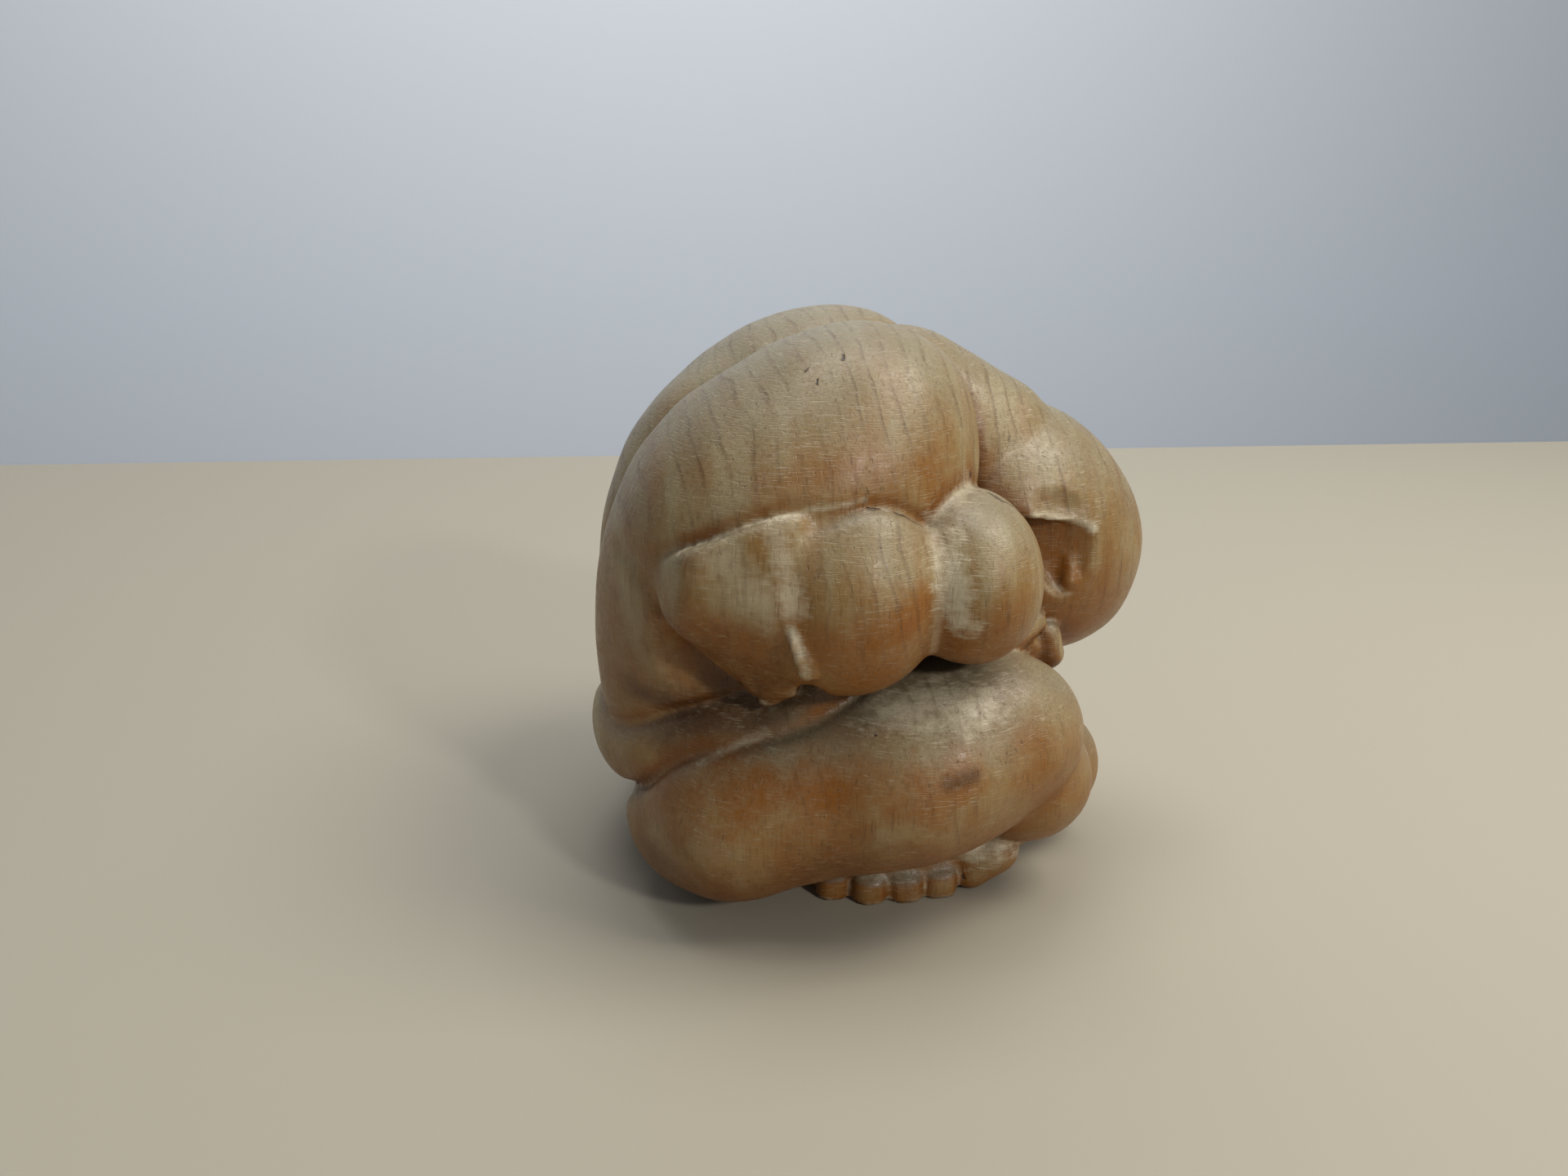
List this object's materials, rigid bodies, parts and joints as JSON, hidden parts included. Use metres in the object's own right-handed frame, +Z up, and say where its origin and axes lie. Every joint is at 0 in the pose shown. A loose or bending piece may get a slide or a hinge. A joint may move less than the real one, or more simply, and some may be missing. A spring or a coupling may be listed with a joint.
{
  "type": "carved wooden figurine",
  "caption": "Small wooden figure seated cross-legged and folded forward, its bowed face hidden in its hands, carved from one block, with a flat underside.",
  "frame": {"origin": "middle of the footprint on the flat underside", "axes": "+X the way the figure faces, +Y its left side, +Z up"},
  "size_m": [0.1022, 0.095, 0.099],
  "materials": {
    "pale_wood": "carved and sanded pale brown wood with a worn satin surface"
  },
  "bodies": {
    "root": {"crouched_figure": "pale_wood"}
  },
  "joints": []
}
